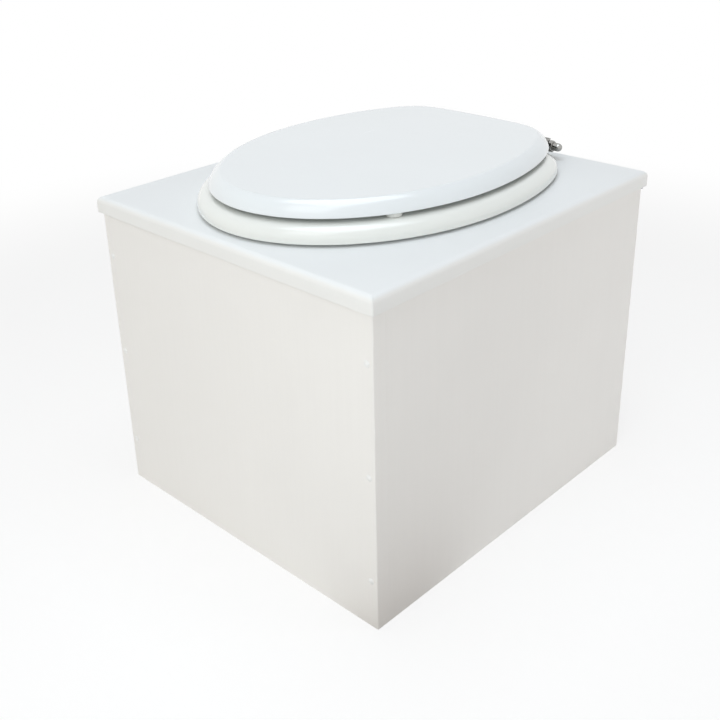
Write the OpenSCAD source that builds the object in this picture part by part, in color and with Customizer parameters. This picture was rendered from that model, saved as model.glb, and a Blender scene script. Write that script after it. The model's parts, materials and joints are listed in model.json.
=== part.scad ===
// Composting toilet: a white box with a lift-up top board, a wooden seat with its lid, and a bucket inside.
// Millimetres. +X is to the right as seen from the front, -Y is the front and +Z is up.
// The origin is on the floor, in the middle of the box.

/* [Box] */
// Width of the box over its side panels
box_w = 450; // [435:5:520]
// Depth of the box over its front and back panels
box_d = 500; // [495:5:580]
// Height of the box up to the underside of its top board
box_h = 384; // [375:1:440]
// Thickness of the front, back and side panels
panel_t = 18; // [15:1:20]
// Radius on the outer upright edges of the front and back panels
panel_round = 1.5; // [1:0.5:5]
// Thickness of the base panel that the bucket stands on
base_t = 12; // [9:1:15]
// Height of the two cleats under the base panel
cleat_h = 20; // [16:1:24]
// Width of the two cleats under the base panel
cleat_w = 20; // [18:1:26]

/* [Top board] */
// Thickness of the top board
board_t = 20; // [18:1:25]
// Overhang of the top board past the box, all round
board_over = 5; // [5:1:12]
// Radius along the top edges of the top board
board_round = 8; // [4:1:12]
// Radius on the board's four corners, seen from above
board_corner = 2; // [1:0.5:4]

/* [Seat ring] */
// Width of the ring across its widest place
ring_w = 378; // [360:2:400]
// Length from the ring's widest place to its front
ring_front = 245; // [233:1:251]
// Length from the ring's widest place to its straight back edge
ring_back = 197; // [190:1:199]
// Thickness of the ring
ring_t = 19; // [18:1:22]
// Width of the opening in the ring
open_w = 224; // [200:2:228]
// Length of the opening in the ring
open_l = 262; // [250:2:270]
// Height of the rubber bumpers under the ring
ring_gap = 3; // [2.5:0.5:4]

/* [Seat lid] */
// Width of the lid across its widest place
lid_w = 348; // [331:1:358]
// Length from the lid's widest place to its front
lid_front = 231; // [219:1:235]
// Length from the lid's widest place to its straight back edge
lid_back = 214; // [210:1:218]
// Thickness of the lid
lid_t = 17; // [14:1:20]
// Width of the slope between the lid's edge and its flat top
lid_slope = 14.5; // [12:0.5:18]
// Height of the rubber bumpers under the lid
lid_gap = 5; // [4:0.5:6]

/* [Seat hinge] */
// Radius of the chromed hinge rod
rod_r = 4; // [3.5:0.25:4.5]
// Distance between the two hinge posts
post_span = 146; // [140:1:160]
// Outer radius of the round eyes on the rod
eye_r = 8; // [7:0.25:8.5]

/* [Bucket] */
// Gap between the splash guard's ends and the inside of the bucket's mouth
guard_clear = 13.8; // [10:0.2:16]
// Outer radius of the bucket at its bottom
bucket_low_r = 128; // [110:1:134]
// Gap from the bucket's rim up to the top board
bucket_gap = 42; // [34:1:60]
// Thickness of the bucket's wall
bucket_wall = 3; // [2:0.5:4]
// Radius of the wire of the bucket's bail
wire_r = 2; // [1.5:0.25:2.5]
// Length of the grip on the bail
grip_l = 110; // [90:5:120]
// Radius of the grip on the bail
grip_r = 10; // [8:0.5:11]

/* [Splash guard] */
// Thickness of the splash guard's steel sheet
guard_t = 1.2; // [0.8:0.1:2]
// Depth that the splash guard reaches into the bucket
guard_dip = 12; // [8:1:18]

/* [Back hinge] */
// Radius of the knuckles of the long hinge at the back
knuckle_r = 2.2; // [1.9:0.05:2.2]
// Thickness of each leaf of the long hinge
leaf_t = 0.9; // [0.7:0.05:1]
// Width of each leaf of the long hinge
leaf_w = 16; // [12:1:16]

/* [Hidden] */

$fn = 64;
cut = 0.5;                 // how far a cutting shape runs past the face it cuts
fixed_fit = 0.03;          // gap round a piece that is held tight in its hole
running_fit = 0.07;        // gap round a piece that turns in its hole
seated = 0.1;              // gap between two leaves that lie on each other

white = [0.93, 0.93, 0.92];
cool_white = [0.90, 0.92, 0.93];
seat_white = [0.94, 0.95, 0.95];
chrome = [0.78, 0.78, 0.80];
steel = [0.66, 0.67, 0.68];
rubber_white = [0.86, 0.87, 0.86];
plywood = [0.80, 0.68, 0.50];
pine = [0.85, 0.72, 0.52];
bucket_grey = [0.30, 0.32, 0.34];
grip_black = [0.12, 0.12, 0.13];

// The box
inner_w = box_w - 2 * panel_t;
inner_d = box_d - 2 * panel_t;
back_face = box_d / 2;
board_top = box_h + board_t;
base_top = cleat_h + base_t;
leaf_stack = 2 * leaf_t + 2 * seated;

// Screws through the front and back panels into the edges of the side panels
panel_screw_x = box_w / 2 - panel_t / 2;
panel_screw_low = 62;      // from the floor to the lowest screw
panel_screw_high = 56;     // from the highest screw to the box's top
panel_screw_top = box_h - panel_screw_high;
panel_screw_zs = [panel_screw_low, (panel_screw_low + panel_screw_top) / 2, panel_screw_top];
panel_screw_r = 2;
panel_screw_l = 45;
panel_head_r = 4;
panel_head_h = 1.4;
panel_head_dome = (pow(panel_head_r, 2) + pow(panel_head_h, 2)) / (2 * panel_head_h);

// Small screws
small_screw_r = 1.6;
small_head_r = 3;
small_head_h = 1.6;

// Screws of the cleats and of the base panel
cleat_screw_end = 42;      // from the cleat's end to its outer screws
cleat_screw_ys = [-1, 0, 1] * (inner_d / 2 - cleat_screw_end);
cleat_screw_bite = 12;     // what the cleat screws reach into the side panels
cleat_screw_l = cleat_w + cleat_screw_bite;
base_screw_end = 82;       // from the base panel's edge to its screws
base_screw_ys = [-1, 1] * (inner_d / 2 - base_screw_end);
base_screw_bite = 14;      // what the base screws reach into the cleats
base_screw_l = base_t + base_screw_bite;

// The seat stands on the top board at its hinge, which keeps clear of the back panel
stud_gap = 8;
axis_y = back_face - panel_t - stud_gap;
axis_set = 2;              // the rod's axis lies this far behind the lid's back edge
seat_y = axis_y - axis_set - lid_back;
ring_z = board_top + ring_gap;
ring_top = ring_z + ring_t;
lid_z = ring_top + lid_gap;
plate_t = 2;               // thickness of the plates under the lid
eye_gap = 1;               // between the eyes, and from the eyes to the plates
axis_z = lid_z - plate_t - eye_gap - eye_r;
axis_h = axis_z - board_top;

// Seat outlines: an ellipse in front, a longer one behind, and a straight back edge with soft corners
seat_steps = 96;
ring_taper = 276;
lid_taper = 262;
ring_corner = 12;
lid_corner = 15;
open_y = -32;              // the opening's centre, in front of the ring's widest place
open_corner = 6;
open_skew = 4;             // how much further the opening reaches forwards than back
open_front = open_l / 2 + open_skew;
open_back = open_l - open_front;
open_taper = 170;

// Edges of the ring, as half-axes of their rounding
ring_edge = [20, 14];
ring_inner_edge = [9, 9];
under_edge = 1.5;

// The lid's slope is an arc that starts steep at the edge and ends nearly flat at the top
lid_under_edge = 1;
lid_arc_start = 10;
lid_arc_end = 75;
lid_arc_steps = 7;

// The board's hole lines up with the ring's opening
hole_margin = 3;
hole_w = open_w + 2 * hole_margin;
hole_l = open_l + 2 * hole_margin;
hole_y = seat_y + open_y;

// Seat hinge pieces along the rod, from the middle outwards
post_x = post_span / 2;
post_l = 14;
post_foot_r = 12;
post_foot_h = 3;
post_neck_r = 6;
gasket_t = 1;
gasket_in = 1;             // from the foot's edge in to the gasket's edge
ring_eye_l = 9;
ring_eye_x = post_x + post_l / 2 + eye_gap;
lid_eye_l = 11;
lid_eye_x = ring_eye_x + ring_eye_l + eye_gap;
nut_gap = 0.5;
nut_x = lid_eye_x + lid_eye_l + nut_gap;
nut_hex_r = 7.5;
nut_hex_l = 6.5;
nut_dome_r = 5.2;
nut_l = 18.5;
nut_turn = 48;             // how far the nuts stand turned on the rod
nut_bore_l = 11;
nut_bore_end = 1;          // from the rod's end to the bottom of the nut's bore
dowel_r = 4;
dowel_l = 30;
lock_screw_in = 9;         // from the dowel's inner end to its locking screw
lock_screw_bite = 1;       // how far the locking screw reaches past the dowel's axis
eye_taper = 0.8;           // how much narrower the lid's eyes are at their outer ends
dowel_z = ring_z + ring_t / 2;
plate_w = 17;
plate_l = 46;
plate_screw_ys = [12, 36];
plate_screw_l = 12;

// Studs that hold the posts through the board
stud_r = 3;
stud_in_post = 9;
stud_tail = 5;
washer_r = 7;
washer_t = 1.5;
stud_nut_r = 5.8;
stud_nut_h = 5;

// Bumpers
ring_bumper_r = 9;
ring_bumper_angles = [-125, -55, 15, 165];
lid_bumper_r = 9;
lid_bumper_in = 10.5;      // from the lid's edge in to a bumper's centre
lid_bumper_angles = [-137, -43];
stem_r = 2;
stem_hole_l = 6.5;         // depth of the hole that takes a bumper's stem
stem_l = 6;

// The bucket and its bail
bucket_y = hole_y;
bucket_top_r = hole_l / 2 + guard_t + guard_clear + bucket_wall;
rim_z = box_h - bucket_gap;
bucket_h = rim_z - base_top;
rim_h = 12;
rim_out = 3.5;
rim_slope = 2;             // height of the slopes above and below the rim's outer face
ear_drop = 22;
ear_r = 8;
ear_out = 6;
bail_z = rim_z - ear_drop;
bail_gap = 2;              // from the rim to the bail's arms
bail_bend_r = 3.5;         // radius of the bends at the bail's pivots
grip_end_gap = 2.5;        // from the grip's ends to the bail's bends
bail_half_w = bucket_top_r + rim_out + bail_gap + wire_r;
bail_straight = grip_l / 2 + grip_end_gap;
bail_arc_r = bail_half_w - bail_straight;
bail_arm_l = 80;
bail_reach = bail_arm_l + bail_arc_r;
bail_hang = 30;
pin_start = bucket_top_r - bucket_wall;

// The splash guard hangs round the hole, under the board
guard_low = rim_z - guard_dip;
guard_flange = 12;
guard_screw_count = 6;
guard_screw_in = 5;        // from the flange's edge to the screws
guard_screw_l = 12;
guard_head_taper = 1;      // how much smaller the screws' heads are at their outer ends

// The long hinge at the back: both leaves lie flat between the board and the back panel
pin_r = 1;
knuckle_gap = 0.3;         // round the knuckles, and between one and the next
hinge_y = back_face + knuckle_r + knuckle_gap;
hinge_z = box_h - knuckle_r - knuckle_gap;
knuckle_pitch = 15;
knuckle_count = 2 * floor(box_w / knuckle_pitch / 2) + 1;
knuckle_l = box_w / knuckle_count;
leaf_screw_count = 8;
leaf_screw_r = 1.4;
leaf_head_r = 2.4;
leaf_screw_l = 14;
leaf_screw_y = back_face - leaf_w / 2;
fixed_leaf_z = box_h - leaf_stack;
moving_leaf_z = box_h - leaf_t;

// Radius of a seat outline at angle a, with the straight back edge folded in softly
function reach(a, side, front, taper, back, soft) =
    let (c = cos(a), s = sin(a), along = s < 0 ? front : taper,
        oval = sqrt(pow(c / side, 2) + pow(s / along, 2)),
        line = s > 0 ? s / back : 0)
    1 / pow(pow(oval, soft) + pow(line, soft), 1 / soft);

// Points of a seat outline, one for each step round it
function outline(side, front, taper, back, soft, y = 0) =
    [for (i = [0 : seat_steps - 1])
        let (a = 360 * i / seat_steps, r = reach(a, side, front, taper, back, soft))
        [r * cos(a), r * sin(a) + y]];

// The outward direction at point i of a closed outline
function outward(p, i) =
    let (n = len(p), d = p[(i + 1) % n] - p[(i + n - 1) % n])
    [d.y, -d.x] / norm(d);

// A closed outline moved inwards by d, or outwards where d is negative
function inset(p, d) = [for (i = [0 : len(p) - 1]) p[i] - d * outward(p, i)];

// An outline lifted to height z
function lift(p, z) = [for (q = p) [q.x, q.y + seat_y, z]];

ring_outline = outline(ring_w / 2, ring_front, ring_taper, ring_back, ring_corner);
open_outline = outline(open_w / 2, open_front, open_taper, open_back, open_corner, open_y);
lid_outline = outline(lid_w / 2, lid_front, lid_taper, lid_back, lid_corner);

function at_angle(p, a) = p[round((a < 0 ? a + 360 : a) / 360 * seat_steps) % seat_steps];
ring_bumper_spots = [for (a = ring_bumper_angles)
    (at_angle(ring_outline, a) + at_angle(open_outline, a)) / 2 + [0, seat_y]];
lid_bumper_spots = [for (a = lid_bumper_angles)
    let (r = reach(a, lid_w / 2, lid_front, lid_taper, lid_back, lid_corner) - lid_bumper_in)
    [r * cos(a), r * sin(a) + seat_y]];

// Triangles between rows of points that all have n points; closed joins the last row to the first
function skin(rows, n, closed) =
    [for (j = [0 : rows - (closed ? 1 : 2)]) for (i = [0 : n - 1])
        let (a = j * n + i, b = j * n + (i + 1) % n,
            c = (j + 1) % rows * n + (i + 1) % n, d = (j + 1) % rows * n + i)
        each [[a, c, b], [a, d, c]]];

// A horizontal cylinder along X, from x0 to x1
module bar_x(r, x0, x1, y, z) {
    translate([x0, y, z]) rotate([0, 90, 0]) cylinder(r = r, h = x1 - x0);
}

// A cylinder along +Z whose foot is at p
module peg(r, h, p) {
    translate(p) cylinder(r = r, h = h);
}

// A rectangle with round corners, centred
module soft_rectangle(w, d, r) {
    square([w - 2 * r, d], center = true);
    square([w, d - 2 * r], center = true);
    for (x = [-1, 1]) for (y = [-1, 1]) translate([x * (w / 2 - r), y * (d / 2 - r)]) circle(r = r);
}

// The long round-ended outline of the hole in the board, grown by d
module hole_shape(d = 0) {
    straight = hole_l - hole_w;
    square([hole_w + 2 * d, straight], center = true);
    for (s = [-1, 1]) translate([0, s * straight / 2]) circle(r = hole_w / 2 + d, $fn = 128);
}

// A panel's plan with its two outer upright edges rounded; the rounded side is at y = 0
module panel_plan(w, t, r) {
    translate([-w / 2, r]) square([w, t - r]);
    translate([-w / 2 + r, 0]) square([w - 2 * r, t]);
    for (x = [-1, 1]) translate([x * (w / 2 - r), r]) circle(r = r);
}

// Places for the panel screws, on the front when side is -1 and on the back when it is 1
module at_panel_screws(side) {
    for (x = [-1, 1]) for (z = panel_screw_zs)
        translate([x * panel_screw_x, side * back_face, z]) rotate([side * 90, 0, 0]) children();
}

// A screw hole that runs into the panel from its face
module panel_screw_hole() {
    translate([0, 0, -cut]) cylinder(r = panel_screw_r + fixed_fit, h = panel_screw_l + cut);
}

module panel_screw() {
    cylinder(r = panel_screw_r, h = panel_screw_l);
    intersection() {
        translate([0, 0, panel_head_dome - panel_head_h]) sphere(r = panel_head_dome);
        translate([0, 0, -panel_head_h]) cylinder(r = panel_head_r, h = panel_head_h);
    }
}

module front_panel() {
    color(white) difference() {
        translate([0, -back_face, 0]) linear_extrude(box_h) panel_plan(box_w, panel_t, panel_round);
        at_panel_screws(-1) panel_screw_hole();
    }
}

module back_panel() {
    color(white) difference() {
        translate([0, back_face, 0]) mirror([0, 1, 0])
            linear_extrude(box_h - leaf_stack) panel_plan(box_w, panel_t, panel_round);
        at_panel_screws(1) panel_screw_hole();
        at_leaf_screws(fixed_leaf_z) peg(leaf_screw_r + fixed_fit, leaf_screw_l, [0, 0, -leaf_screw_l]);
    }
}

module side_panel(side) {
    color(white) difference() {
        translate([side > 0 ? inner_w / 2 : -box_w / 2, -inner_d / 2, 0]) cube([panel_t, inner_d, box_h]);
        at_panel_screws(-1) panel_screw_hole();
        at_panel_screws(1) panel_screw_hole();
        at_cleat_screws(side) cylinder(r = small_screw_r + fixed_fit, h = cleat_screw_l);
    }
}

module base_panel() {
    color(plywood) difference() {
        translate([-inner_w / 2, -inner_d / 2, cleat_h]) cube([inner_w, inner_d, base_t]);
        at_base_screws() base_screw(fixed_fit);
    }
}

module base_cleat(side) {
    color(pine) difference() {
        translate([side > 0 ? inner_w / 2 - cleat_w : -inner_w / 2, -inner_d / 2, 0])
            cube([cleat_w, inner_d, cleat_h]);
        at_cleat_screws(side) cleat_screw(fixed_fit);
        at_base_screws() base_screw(fixed_fit);
    }
}

// Cleat screws run outwards from the cleat's inner face into the side panel
module at_cleat_screws(side) {
    for (y = cleat_screw_ys) translate([side * (inner_w / 2 - cleat_w), y, cleat_h / 2])
        rotate([0, side * 90, 0]) children();
}

module cleat_screw(grow = 0) {
    cylinder(r1 = small_head_r + grow, r2 = small_screw_r + grow, h = small_head_r - small_screw_r);
    cylinder(r = small_screw_r + grow, h = cleat_screw_l);
}

module at_base_screws() {
    for (x = [-1, 1]) for (y = base_screw_ys)
        translate([x * (inner_w / 2 - cleat_w / 2), y, base_top]) mirror([0, 0, 1]) children();
}

module base_screw(grow = 0) {
    cylinder(r1 = small_head_r + grow, r2 = small_screw_r + grow, h = small_head_r - small_screw_r);
    cylinder(r = small_screw_r + grow, h = base_screw_l);
}

module front_panel_screws() {
    color(white) at_panel_screws(-1) panel_screw();
}

module back_panel_screws() {
    color(white) at_panel_screws(1) panel_screw();
}

module cleat_screws() {
    color(steel) for (side = [-1, 1]) at_cleat_screws(side) cleat_screw();
}

module base_screws() {
    color(steel) at_base_screws() base_screw();
}

// Places for the screws of one leaf of the long hinge, at height z
module at_leaf_screws(z) {
    for (i = [0 : leaf_screw_count - 1])
        translate([box_w * ((i + 0.5) / leaf_screw_count - 0.5), leaf_screw_y, z]) children();
}

// One leaf of the long hinge: a flat plate and every second knuckle
module hinge_leaf(low, first) {
    difference() {
        union() {
            translate([-box_w / 2, back_face - leaf_w, low]) cube([box_w, leaf_w, leaf_t]);
            for (k = [first : 2 : knuckle_count - 1]) knuckle(k, low);
        }
        bar_x(pin_r + running_fit, -box_w / 2 - cut, box_w / 2 + cut, hinge_y, hinge_z);
    }
}

module knuckle(k, low) {
    x0 = -box_w / 2 + k * knuckle_l + knuckle_gap / 2;
    x1 = x0 + knuckle_l - knuckle_gap;
    bar_x(knuckle_r, x0, x1, hinge_y, hinge_z);
    intersection() {
        translate([x0, back_face - cut, low]) cube([x1 - x0, hinge_y - back_face + cut, leaf_t]);
        translate([x0, back_face - cut, 0]) cube([x1 - x0, box_d, hinge_z + knuckle_r]);
    }
}

module back_hinge_fixed_leaf() {
    color(steel) difference() {
        hinge_leaf(fixed_leaf_z, 0);
        at_leaf_screws(fixed_leaf_z)
            cylinder(r1 = leaf_screw_r + fixed_fit, r2 = leaf_head_r + fixed_fit, h = leaf_t);
    }
}

module back_hinge_moving_leaf() {
    color(steel) difference() {
        hinge_leaf(moving_leaf_z, 1);
        at_leaf_screws(moving_leaf_z)
            cylinder(r1 = leaf_head_r + fixed_fit, r2 = leaf_screw_r + fixed_fit, h = leaf_t);
    }
}

module back_hinge_pin() {
    color(steel) bar_x(pin_r, -box_w / 2, box_w / 2, hinge_y, hinge_z);
}

module back_hinge_lower_screws() {
    color(steel) at_leaf_screws(fixed_leaf_z) {
        cylinder(r1 = leaf_screw_r, r2 = leaf_head_r, h = leaf_t);
        peg(leaf_screw_r, leaf_screw_l, [0, 0, -leaf_screw_l]);
    }
}

module back_hinge_upper_screws() {
    color(steel) at_leaf_screws(moving_leaf_z) {
        cylinder(r1 = leaf_head_r, r2 = leaf_screw_r, h = leaf_t);
        cylinder(r = leaf_screw_r, h = leaf_t + leaf_screw_l);
    }
}

// The section of the board across a span, with its two top edges rounded
module board_section(span) {
    r = board_round;
    translate([-span / 2, 0]) square([span, board_t - r]);
    translate([-span / 2 + r, 0]) square([span - 2 * r, board_t]);
    for (x = [-1, 1]) translate([x * (span / 2 - r), board_t - r]) circle(r = r, $fn = 96);
}

module top_board() {
    w = box_w + 2 * board_over;
    d = box_d + 2 * board_over;
    color(cool_white) difference() {
        translate([0, 0, box_h]) intersection() {
            rotate([90, 0, 0]) linear_extrude(d, center = true) board_section(w);
            rotate([90, 0, 90]) linear_extrude(w, center = true) board_section(d);
            linear_extrude(board_t) soft_rectangle(w, d, board_corner);
        }
        translate([0, hole_y, box_h - cut]) linear_extrude(board_t + 2 * cut) hole_shape();
        for (x = [-1, 1]) peg(stud_r + fixed_fit, board_t + 2 * cut, [x * post_x, axis_y, box_h - cut]);
        at_leaf_screws(moving_leaf_z) cylinder(r = leaf_screw_r + fixed_fit, h = leaf_t + leaf_screw_l);
        at_guard_screws() cylinder(r = small_screw_r + fixed_fit, h = guard_screw_l);
    }
}

// Screws of the splash guard, round its flange, driven up into the board
module at_guard_screws() {
    straight = hole_l - hole_w;
    r = hole_w / 2 + guard_flange - guard_screw_in;
    for (i = [0 : guard_screw_count - 1]) {
        a = 360 * (i + 0.5) / guard_screw_count;
        y = hole_y + r * sin(a) + sign(sin(a)) * straight / 2;
        translate([r * cos(a), y, box_h - guard_t]) children();
    }
}

module splash_guard() {
    color(steel) difference() {
        translate([0, hole_y, 0]) union() {
            translate([0, 0, guard_low]) linear_extrude(box_h - guard_low) hole_shape(guard_t);
            translate([0, 0, box_h - guard_t]) linear_extrude(guard_t) hole_shape(guard_flange);
        }
        translate([0, hole_y, guard_low - cut]) linear_extrude(box_h - guard_low + 2 * cut) hole_shape();
        at_guard_screws() peg(small_screw_r + fixed_fit, guard_t + 2 * cut, [0, 0, -cut]);
    }
}

module splash_guard_screws() {
    color(steel) at_guard_screws() {
        cylinder(r = small_screw_r, h = guard_screw_l);
        translate([0, 0, -small_head_h])
            cylinder(r1 = small_head_r - guard_head_taper, r2 = small_head_r, h = small_head_h);
    }
}

module hinge_post(side) {
    x = side * post_x;
    neck_h = axis_h - gasket_t - post_foot_h;
    color(chrome) difference() {
        union() {
            translate([x, axis_y, board_top + gasket_t]) {
                cylinder(r = post_foot_r, h = post_foot_h / 2);
                translate([0, 0, post_foot_h / 2])
                    cylinder(r1 = post_foot_r, r2 = post_neck_r, h = post_foot_h / 2);
                cylinder(r = post_neck_r, h = post_foot_h + neck_h);
            }
            bar_x(eye_r, x - post_l / 2, x + post_l / 2, axis_y, axis_z);
        }
        bar_x(rod_r + fixed_fit, x - post_l, x + post_l, axis_y, axis_z);
        peg(stud_r + fixed_fit, stud_in_post, [x, axis_y, board_top]);
    }
}

module post_gaskets() {
    color(rubber_white) for (x = [-1, 1]) difference() {
        peg(post_foot_r - gasket_in, gasket_t, [x * post_x, axis_y, board_top]);
        peg(stud_r + fixed_fit, board_t, [x * post_x, axis_y, board_top - board_t / 2]);
    }
}

stud_low = box_h - washer_t - stud_nut_h - stud_tail;

module post_studs() {
    color(steel) for (x = [-1, 1])
        peg(stud_r, board_top + stud_in_post - stud_low, [x * post_x, axis_y, stud_low]);
}

module stud_washers() {
    color(steel) for (x = [-1, 1]) difference() {
        peg(washer_r, washer_t, [x * post_x, axis_y, box_h - washer_t]);
        peg(stud_r + fixed_fit, board_t, [x * post_x, axis_y, box_h - board_t / 2]);
    }
}

module stud_nuts() {
    color(steel) for (x = [-1, 1]) difference() {
        translate([x * post_x, axis_y, box_h - washer_t - stud_nut_h])
            cylinder(r = stud_nut_r, h = stud_nut_h, $fn = 6);
        peg(stud_r + fixed_fit, board_t, [x * post_x, axis_y, box_h - board_t]);
    }
}

module seat_hinge_rod() {
    half = nut_x + nut_bore_l - nut_bore_end;
    color(chrome) bar_x(rod_r, -half, half, axis_y, axis_z);
}

// A cap nut on each end of the rod: a hexagon, a short collar and a domed end
module hinge_cap_nuts() {
    dome_h = nut_l - nut_hex_l;
    color(chrome) for (side = [-1, 1]) translate([side * nut_x, axis_y, axis_z]) rotate([0, side * 90, 0])
        difference() {
            union() {
                rotate(side * nut_turn) cylinder(r = nut_hex_r, h = nut_hex_l, $fn = 6);
                cylinder(r = nut_dome_r, h = nut_hex_l + dome_h - nut_dome_r);
                translate([0, 0, nut_hex_l + dome_h - nut_dome_r]) sphere(r = nut_dome_r);
            }
            translate([0, 0, -cut]) cylinder(r = rod_r + fixed_fit, h = nut_bore_l + cut);
        }
}

// Rows of points that round the top edge or the under edge of a closed outline, by quarter turns of a
function top_row(p, edge, top, a) = lift(inset(p, edge.x * (1 - cos(a))), top - abs(edge.y) * (1 - sin(a)));
function low_row(p, edge, low, a) = lift(inset(p, edge * (1 - cos(a))), low + abs(edge) * (1 - sin(a)));

// The ring's rows run from under its outer edge, over the top and down into the opening
ring_rows = concat(
    [for (a = [90 : -30 : 0]) low_row(ring_outline, under_edge, ring_z, a)],
    [for (a = [0 : 15 : 90]) top_row(ring_outline, ring_edge, ring_top, a)],
    [for (a = [90 : -18 : 0]) top_row(open_outline, -ring_inner_edge, ring_top, a)],
    [for (a = [0 : 45 : 90]) low_row(open_outline, -under_edge, ring_z, a)]);

module seat_ring() {
    color(seat_white) difference() {
        polyhedron(points = [for (r = ring_rows) each r],
            faces = skin(len(ring_rows), seat_steps, true), convexity = 6);
        for (p = ring_bumper_spots) peg(stem_r + fixed_fit, stem_hole_l + cut, [p.x, p.y, ring_z - cut]);
        for (side = [-1, 1]) {
            ring_dowel(side, fixed_fit);
            ring_hinge_screw(side, fixed_fit);
        }
    }
}

module ring_bumpers() {
    color(rubber_white) for (p = ring_bumper_spots) {
        peg(ring_bumper_r, ring_gap, [p.x, p.y, board_top]);
        peg(stem_r, ring_gap + stem_l, [p.x, p.y, board_top]);
    }
}

// The round dowel that carries the ring, pushed into the ring's back edge
module ring_dowel(side, grow = 0) {
    x = side * (ring_eye_x + ring_eye_l / 2);
    low = seat_y + ring_back - dowel_l - grow;
    translate([x, low, dowel_z]) rotate([-90, 0, 0])
        cylinder(r = dowel_r + grow, h = axis_y - low - (grow > 0 ? eye_r : rod_r));
}

module ring_hinge(side) {
    x = side * (ring_eye_x + ring_eye_l / 2);
    color(chrome) difference() {
        union() {
            bar_x(eye_r, x - ring_eye_l / 2, x + ring_eye_l / 2, axis_y, axis_z);
            ring_dowel(side);
        }
        bar_x(rod_r + running_fit, x - ring_eye_l, x + ring_eye_l, axis_y, axis_z);
        ring_hinge_screw(side, fixed_fit);
    }
}

// A screw from under the ring that locks each dowel
module ring_hinge_screw(side, grow = 0) {
    x = side * (ring_eye_x + ring_eye_l / 2);
    y = seat_y + ring_back - dowel_l + lock_screw_in;
    low = ring_z - (grow > 0 ? cut : 0);
    peg(small_screw_r + grow, dowel_z + lock_screw_bite - low, [x, y, low]);
    translate([x, y, ring_z]) cylinder(r1 = small_head_r + grow, r2 = small_screw_r + grow, h = small_head_h);
}

module ring_hinge_screws() {
    color(steel) for (side = [-1, 1]) ring_hinge_screw(side);
}

// A row of the lid's slope, where its arc has turned to angle a
function slope_row(a) =
    let (across = (cos(lid_arc_start) - cos(a)) / (cos(lid_arc_start) - cos(lid_arc_end)),
        up = (sin(a) - sin(lid_arc_start)) / (sin(lid_arc_end) - sin(lid_arc_start)))
    lift(inset(lid_outline, lid_slope * across), lid_z + lid_under_edge + (lid_t - lid_under_edge) * up);

lid_rows = concat(
    [for (a = [90 : -30 : 0]) low_row(lid_outline, lid_under_edge, lid_z, a)],
    [for (i = [1 : lid_arc_steps])
        slope_row(lid_arc_start + (lid_arc_end - lid_arc_start) * i / lid_arc_steps)]);

module seat_lid() {
    n = len(lid_rows);
    color(seat_white) difference() {
        polyhedron(points = [for (r = lid_rows) each r], convexity = 4,
            faces = concat(skin(n, seat_steps, false),
                [[for (i = [0 : seat_steps - 1]) i],
                [for (i = [seat_steps - 1 : -1 : 0]) (n - 1) * seat_steps + i]]));
        for (p = lid_bumper_spots) peg(stem_r + fixed_fit, stem_hole_l + cut, [p.x, p.y, lid_z - cut]);
        for (side = [-1, 1]) at_plate_screws(side) plate_screw(fixed_fit);
    }
}

module lid_bumpers() {
    color(rubber_white) for (p = lid_bumper_spots) {
        peg(lid_bumper_r, lid_gap, [p.x, p.y, ring_top]);
        peg(stem_r, lid_gap + stem_l, [p.x, p.y, ring_top]);
    }
}

// Two screws in each lid plate, driven up into the lid
module at_plate_screws(side) {
    x = side * (lid_eye_x + lid_eye_l / 2);
    for (y = plate_screw_ys) translate([x, axis_y - eye_r - y + cut, lid_z - plate_t]) children();
}

module plate_screw(grow = 0) {
    cylinder(r1 = small_head_r + grow, r2 = small_screw_r + grow, h = small_head_r - small_screw_r);
    cylinder(r = small_screw_r + grow, h = plate_screw_l + grow);
}

// The lid's hinge: a tapered eye on the rod, a neck and a plate under the lid
module lid_hinge(side) {
    x = side * (lid_eye_x + lid_eye_l / 2);
    neck = [lid_eye_l, eye_r, lid_z - axis_z];
    color(chrome) difference() {
        union() {
            translate([side * lid_eye_x, axis_y, axis_z]) rotate([0, side * 90, 0])
                cylinder(r1 = eye_r, r2 = eye_r - eye_taper, h = lid_eye_l);
            translate([x - neck.x / 2, axis_y - axis_set - neck.y, axis_z]) cube(neck);
            translate([x - plate_w / 2, axis_y - eye_r - plate_l + cut, lid_z - plate_t])
                cube([plate_w, plate_l + eye_r - axis_set - cut, plate_t]);
        }
        bar_x(rod_r + running_fit, x - plate_w, x + plate_w, axis_y, axis_z);
        at_plate_screws(side) plate_screw(fixed_fit);
    }
}

module lid_hinge_screws() {
    color(steel) for (side = [-1, 1]) at_plate_screws(side) plate_screw();
}

// The bucket's wall leans out from its bottom to its mouth
function bucket_r(z) = bucket_low_r + (bucket_top_r - bucket_low_r) * z / bucket_h;

module bucket() {
    color(bucket_grey) difference() {
        translate([0, bucket_y, base_top]) union() {
            rotate_extrude($fn = 128) polygon([
                [0, 0], [bucket_low_r, 0], [bucket_r(bucket_h - rim_h), bucket_h - rim_h],
                [bucket_top_r + rim_out, bucket_h - rim_h + rim_slope],
                [bucket_top_r + rim_out, bucket_h - rim_slope],
                [bucket_top_r + rim_out - rim_slope, bucket_h], [bucket_top_r - bucket_wall, bucket_h],
                [bucket_low_r - bucket_wall, bucket_wall], [0, bucket_wall]]);
            for (side = [-1, 1]) translate([side * (pin_start - bucket_wall), 0, bail_z - base_top])
                rotate([0, side * 90, 0]) cylinder(r = ear_r, h = ear_out + bucket_wall);
        }
        bar_x(wire_r + running_fit, pin_start - running_fit, bail_half_w, bucket_y, bail_z);
        bar_x(wire_r + running_fit, -bail_half_w, running_fit - pin_start, bucket_y, bail_z);
        translate([0, bucket_y, base_top]) rotate_extrude($fn = 128) polygon([
            [0, bucket_wall], [bucket_low_r - bucket_wall, bucket_wall],
            [bucket_top_r - bucket_wall, bucket_h], [bucket_top_r - bucket_wall, bucket_h + cut],
            [0, bucket_h + cut]]);
    }
}

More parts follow.
